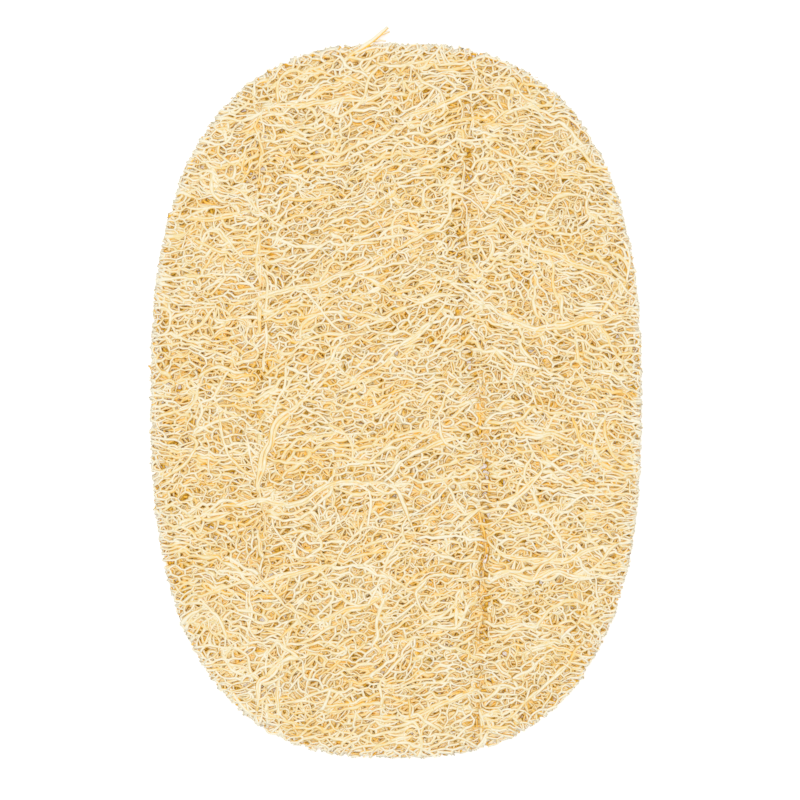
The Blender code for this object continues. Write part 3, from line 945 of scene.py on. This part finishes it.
# The outer face: thick strands, what runs along the creases, and short curved strands between them
main_strands = routed(MAIN_ROUTES, height=4.65, sides=6)
main_strands.tone -= 3
main_strands.ripple_share = 0.3
stray_strands = routed(STRAY_ROUTES, height=4.5, sides=6, bundle=1, step=0.5, wander=0.05)
stray_strands.tone -= 4
main_forks = forks(
    main_strands, per_strand=1, length=(6, 16), radius=(0.3, 0.44), sides=5, height=(4.3, 4.7),
)
left_crease = upright_batch(
    22, LEFT_CREASE, reach=(5, 66), offset=(-1.0, 1.1), length=(4, 13), height=(4.2, 4.6),
    radius=(0.26, 0.42), turn=0.13,
)
left_crease.tone -= 1.5
left_lower = upright_batch(
    12, LEFT_CREASE, reach=(-68, 0), offset=(-2.5, 2.5), length=(5, 12), height=(4.1, 4.7),
    radius=(0.25, 0.38), turn=0.35,
)
right_lower = upright_batch(
    30, RIGHT_CREASE, reach=(-68, 4), offset=(-1.4, 1.4), length=(4, 10), height=(3.2, 4.1),
    radius=(0.24, 0.34), turn=0.25,
)
right_upper = upright_batch(
    12, RIGHT_CREASE, reach=(4, 68), offset=(-2, 2), length=(5, 12), height=(4.0, 4.7),
    radius=(0.22, 0.32), turn=0.3,
)
crease_strands = [left_crease, left_lower, right_lower, right_upper]
tied([main_strands, main_forks] + crease_strands)
curved_strands = hoop_batch(
    260, cell=(7, 7), length=(5, 16), height=(4.3, 4.75), radius=(0.34, 0.5), sides=5,
    turn=0.5, bend=0.2, pull=0.12, crossing=0.12, step=0.9, bend_length=3,
)
curved_strands.tone -= 1.4
curved_strands.ripple_share = 0.6
tied([main_strands, main_forks, curved_strands])
thick_net = Net([main_strands, main_forks, curved_strands] + crease_strands)

# The webs of the outer face. The first one springs from the sides of the thick strands
outer_web = Web(across=2.5, along=1.3, radius=(0.25, 0.36), height=4.4, swirl=1.1)
outer_web.grow_strands(90, length=(5, 18), radius=(0.45, 0.58), stray=0.6)
outer_web.grow_strands(420, length=(3, 12), radius=(0.37, 0.5), stray=0.6)
outer_web.pull_tight(2)
outer_web.grow_onto(thick_net, reach=0.8)
outer_web.cut(crossing=0.55)
outer_fine, outer_strong = outer_web.fibres(thick=0.37, sides=(4, 5))
outer_strong.tone -= 1.2

second_web = Web(across=2.4, along=1.4, radius=(0.28, 0.38), height=4.0, swirl=1.3)
second_web.grow_strands(260, length=(5, 18), radius=(0.38, 0.5), stray=0.6)
second_web.pull_tight(2)
second_web.cut(crossing=0.6)

outer_curls = curly_batch(
    1700, length=(2, 4.5), height=(3.9, 4.6), radius=(0.25, 0.33), bend=0.8, sides=4, step=0.65,
)
tied([outer_curls])
outer_rings = rings(160, size=(0.7, 1.2), height=(4.0, 4.5), radius=(0.28, 0.34), sides=4)
outer_combs = ties(
    thick_net, 600, length=(1.2, 3.0), radius=(0.25, 0.33), sag=(0, 0.5), sides=4, most=6,
)

# The middle of the net, with the fibres that hold the two faces together
third_web = Web(across=2.7, along=1.7, radius=(0.36, 0.46), height=3.6, swirl=1.4)
third_web.pull_tight(2)
third_web.cut()
bed_strands = hoop_batch(
    2400, cell=(4.5, 1.2), length=(8, 26), height=(2.9, 3.5), radius=(0.42, 0.62), sides=3,
    turn=0.7, bend=0.12, pull=0.04, step=1.7, flatness=0.6,
)
bed_strands.tone = 1.5 + 2 * bed_strands.tone
in_left_strip = strip_of(*bed_strands.points[:, 0, :2].T) == 0
bed_strands.only(~in_left_strip | (rng.random(len(in_left_strip)) < LEFT_BED_SHARE))
middle_web = Web(across=3.3, along=2.3, radius=(0.3, 0.42), height=2.1, rise=0.5, swirl=1.4)
middle_web.pull_tight(2)
middle_web.cut()
middle_ties = face_ties(
    random_places(700, 1), low=(0.6, 1.6), high=(2.8, 3.8), slant=1.2, radius=(0.26, 0.36),
)
rim_ties = face_ties(
    rim_places(900), low=(0.4, 2.2), high=(2.2, 4.3), slant=1.0, radius=(0.26, 0.4),
)

# The inner face: long strands, and the net that holds them together
long_strands = long_batch(16, pitch=6.2, height=(0.75, 1.0), radius=(0.45, 0.62), sides=8)
long_fine = long_batch(34, pitch=3.0, height=(0.7, 1.5), radius=(0.26, 0.4), sides=4)
inner_web = Web(across=2.9, along=2.2, radius=(0.24, 0.32), height=1.1)
inner_web.grow_strands(120, length=(6, 20), radius=(0.32, 0.42))
inner_web.pull_tight(4)
inner_web.cut()
inner_curls = curly_batch(
    320, length=(6, 18), height=(0.45, 1.6), radius=(0.2, 0.26), bend=0.16, step=1.0,
)
tied([long_strands, long_fine, inner_curls])

# Small ripples, as a size in mm and a field, and the knots along the fibres
ripples = ((0.17, Swell(3.2, depth=4)), (0.25, Swell(7, depth=6)))
knots = Swell(4, depth=4)

groups = {
    "thick_strands": [main_strands, main_forks, stray_strands] + crease_strands,
    "outer_strands": [outer_strong, curved_strands],
    "outer_web": [outer_fine],
    "outer_curls": [outer_curls, outer_rings, outer_combs],
    "second_web": second_web.fibres(thick=0.37),
    "third_web": third_web.fibres(thick=0.6),
    "middle_web": middle_web.fibres(thick=0.6) + [middle_ties, rim_ties],
    "bed_strands": [bed_strands],
    "inner_web": inner_web.fibres(),
    "inner_strands": [long_strands, long_fine, inner_curls],
}


class Socket:
    """A shader value that Python's operators work on."""

    def __init__(self, tree, socket):
        self.tree = tree
        self.socket = socket

    def maths(self, operation, *values):
        return self.tree.add("ShaderNodeMath", {"operation": operation}, dict(enumerate(values)))

    def __add__(self, other):
        return self.maths("ADD", self, other)

    def __sub__(self, other):
        return self.maths("SUBTRACT", self, other)

    def __rsub__(self, other):
        return self.maths("SUBTRACT", other, self)

    def __mul__(self, other):
        return self.maths("MULTIPLY", self, other)

    __radd__ = __add__
    __rmul__ = __mul__


class Shader:
    """A material's node tree, with one method that adds any node."""

    def __init__(self, name):
        self.material = bpy.data.materials.new(name)
        self.material.use_nodes = True
        self.nodes = self.material.node_tree.nodes
        self.links = self.material.node_tree.links
        self.surface = self.nodes["Principled BSDF"]

    def add(self, kind, settings=None, inputs=None, output=0):
        node = self.nodes.new(kind)
        for name, value in (settings or {}).items():
            if name == "stops":
                self.set_stops(node.color_ramp, value)
            else:
                setattr(node, name, value)
        for name, value in (inputs or {}).items():
            self.feed(node.inputs[name], value)
        return Socket(self, node.outputs[output])

    def set_stops(self, ramp, stops):
        for _ in range(len(stops) - len(ramp.elements)):
            ramp.elements.new(1)
        for element, (place, colour) in zip(ramp.elements, stops):
            element.position = place
            element.color = colour

    def feed(self, socket, value):
        if isinstance(value, Socket):
            self.links.new(value.socket, socket)
        else:
            socket.default_value = value

    def finish(self, **inputs):
        for name, value in inputs.items():
            self.feed(self.surface.inputs[name.replace("_", " ")], value)
        return self.material


def fibre_material():
    """Dry loofah fibre, painted pale where it faces the air and golden as shade where it faces the net's
    depth.
    """
    shader = Shader("dry_loofah_fibre")
    place = shader.add("ShaderNodeTexCoord", output=3)
    normal = shader.add("ShaderNodeTexCoord", output=1)
    air = shader.add("ShaderNodeAttribute", {"attribute_name": "air"}, output=1)
    nearness = shader.add("ShaderNodeVectorMath", {"operation": "LENGTH"}, {0: air}, output=1)
    painted_light = shader.add("ShaderNodeVectorMath", {"operation": "DOT_PRODUCT"}, {0: air, 1: normal}, output=1)
    painted_light = shader.add("ShaderNodeMath", {"operation": "MAXIMUM"}, {0: painted_light, 1: 0.0})
    tone = shader.add("ShaderNodeAttribute", {"attribute_name": "tone"}, output=2)
    patches = shader.add("ShaderNodeTexNoise", inputs={"Vector": place, "Scale": 140, "Detail": 2})
    grain = shader.add("ShaderNodeTexNoise", inputs={"Vector": place, "Scale": 2600, "Detail": 2})
    own_place = shader.add("ShaderNodeAttribute", {"attribute_name": "own_place"}, output=1)
    streaks = shader.add("ShaderNodeTexNoise", inputs={"Vector": own_place, "Scale": 4.6, "Detail": 2})
    # Painted light and shade: faces turned to the open and the cut rim are painted pale, faces turned into
    # the net painted golden; tone, patches and streaks are the fibre's own variation
    share = 0.1 * nearness + 0.84 * painted_light + tone * 0.07 + (patches - 0.5) * 0.08 + (streaks - 0.5) * 1.15
    colour = shader.add(
        "ShaderNodeValToRGB",
        {"stops": ((0.22, SHADED_GOLD), (0.57, STRAW), (0.92, CREAM))},
        {"Fac": share},
    )
    rough = 0.62 + (grain - 0.5) * 0.3
    relief = {"Height": streaks + grain * 0.3, "Strength": 0.6, "Distance": 0.25 * MM}
    bump = shader.add("ShaderNodeBump", inputs=relief)
    return shader.finish(Base_Color=colour, Roughness=rough, Normal=bump, Specular_IOR_Level=0.25)


loofah_fibre = fibre_material()
for name, batches in groups.items():
    rippled(batches)
    moved_to_frame(batches)
    piece = bpy.data.objects.new(name, fibre_mesh(name, batches))
    bpy.context.scene.collection.objects.link(piece)
    piece.data.materials.append(loofah_fibre)
    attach(piece, "root")
    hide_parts(NODE)


def floor():
    """The pale ground under the pad, which is no part of it."""
    bpy.ops.mesh.primitive_plane_add(size=2.0, location=(0, 0, FLOOR_Z * MM))
    plane = bpy.context.object
    plane.name = "pale_floor"
    shader = Shader("pale_floor")
    glow = {"Emission_Color": WARM_GLOW, "Emission_Strength": 0.22}
    plane.data.materials.append(shader.finish(Base_Color=(0.97, 0.97, 0.97, 1), Roughness=0.9, **glow))


def soft_light(name, place, size, power):
    data = bpy.data.lights.new(name, "AREA")
    data.shape = "DISK"
    data.size = size
    data.energy = power
    lamp = bpy.data.objects.new(name, data)
    lamp.location = place
    lamp.rotation_euler = (-Vector(place)).to_track_quat("-Z", "Y").to_euler()
    bpy.context.scene.collection.objects.link(lamp)


def sky(strength):
    world = bpy.data.worlds.new("soft_sky")
    world.use_nodes = True
    background = world.node_tree.nodes["Background"]
    background.inputs["Color"].default_value = (1, 1, 1, 1)
    background.inputs["Strength"].default_value = strength
    bpy.context.scene.world = world


def camera():
    """Straight above the oval, so far up that a pixel of the picture has its size."""
    data = bpy.data.cameras.new("straight_down")
    data.lens = LENS
    data.sensor_width = SENSOR
    obj = bpy.data.objects.new("straight_down", data)
    x = (PICTURE / 2 - OVAL_PIXEL[0]) * PIXEL
    y = OVAL_MIDDLE_Y - (PICTURE / 2 - OVAL_PIXEL[1]) * PIXEL
    distance = PICTURE * PIXEL * LENS / SENSOR
    obj.location = (x * MM, y * MM, (distance + PIXEL_HEIGHT) * MM)
    data.clip_start = 0.01
    data.clip_end = 10
    bpy.context.scene.collection.objects.link(obj)
    bpy.context.scene.camera = obj


floor()
sky(strength=0.5)
soft_light("overhead", place=(-0.02, 0.03, 0.95), size=0.35, power=6.5)
camera()
bpy.context.scene.view_settings.view_transform = "Standard"
bpy.context.scene.view_settings.gamma = 1.45
